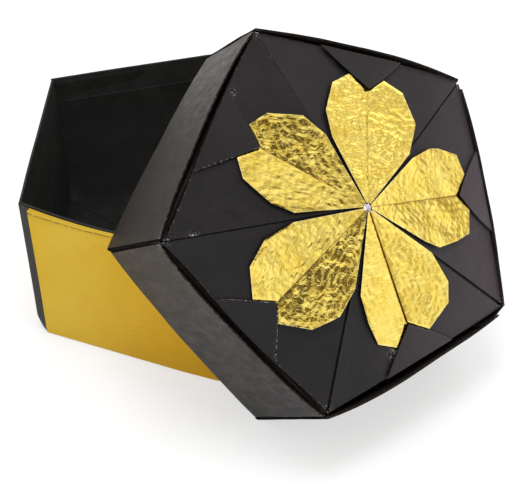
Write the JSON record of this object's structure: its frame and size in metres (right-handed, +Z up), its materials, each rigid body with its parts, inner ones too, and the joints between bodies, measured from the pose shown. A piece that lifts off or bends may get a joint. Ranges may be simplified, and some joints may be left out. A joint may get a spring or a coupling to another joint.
{
  "type": "origami box",
  "caption": "Pentagonal box of folded paper in black and gold: an open tray with its blossom lid leaning on it.",
  "frame": {"origin": "centre of the tray's underside, on the surface that the box stands on", "axes": "+Z up out of the tray's mouth, the tray's front wall faces -Y, the lid leans at +X"},
  "size_m": [0.1549, 0.1228, 0.0997],
  "materials": {
    "black_paper": "satin, fine grain",
    "gold_smooth": "satin metallic foil",
    "gold_crinkled": "crinkled metallic foil"
  },
  "bodies": {
    "root": {"tray_unit_1": "black_paper", "tray_panel_1": "gold_smooth", "lid_unit_1": "black_paper", "petal_1": "gold_crinkled", "tray_unit_2": "black_paper", "tray_panel_2": "gold_smooth", "lid_unit_2": "black_paper", "petal_2": "gold_crinkled", "tray_unit_3": "black_paper", "tray_panel_3": "gold_smooth", "lid_unit_3": "black_paper", "petal_3": "gold_crinkled", "tray_unit_4": "black_paper", "tray_panel_4": "gold_smooth", "lid_unit_4": "black_paper", "petal_4": "gold_crinkled", "tray_unit_5": "black_paper", "tray_panel_5": "gold_smooth", "lid_unit_5": "black_paper", "petal_5": "gold_crinkled"}
  },
  "joints": []
}
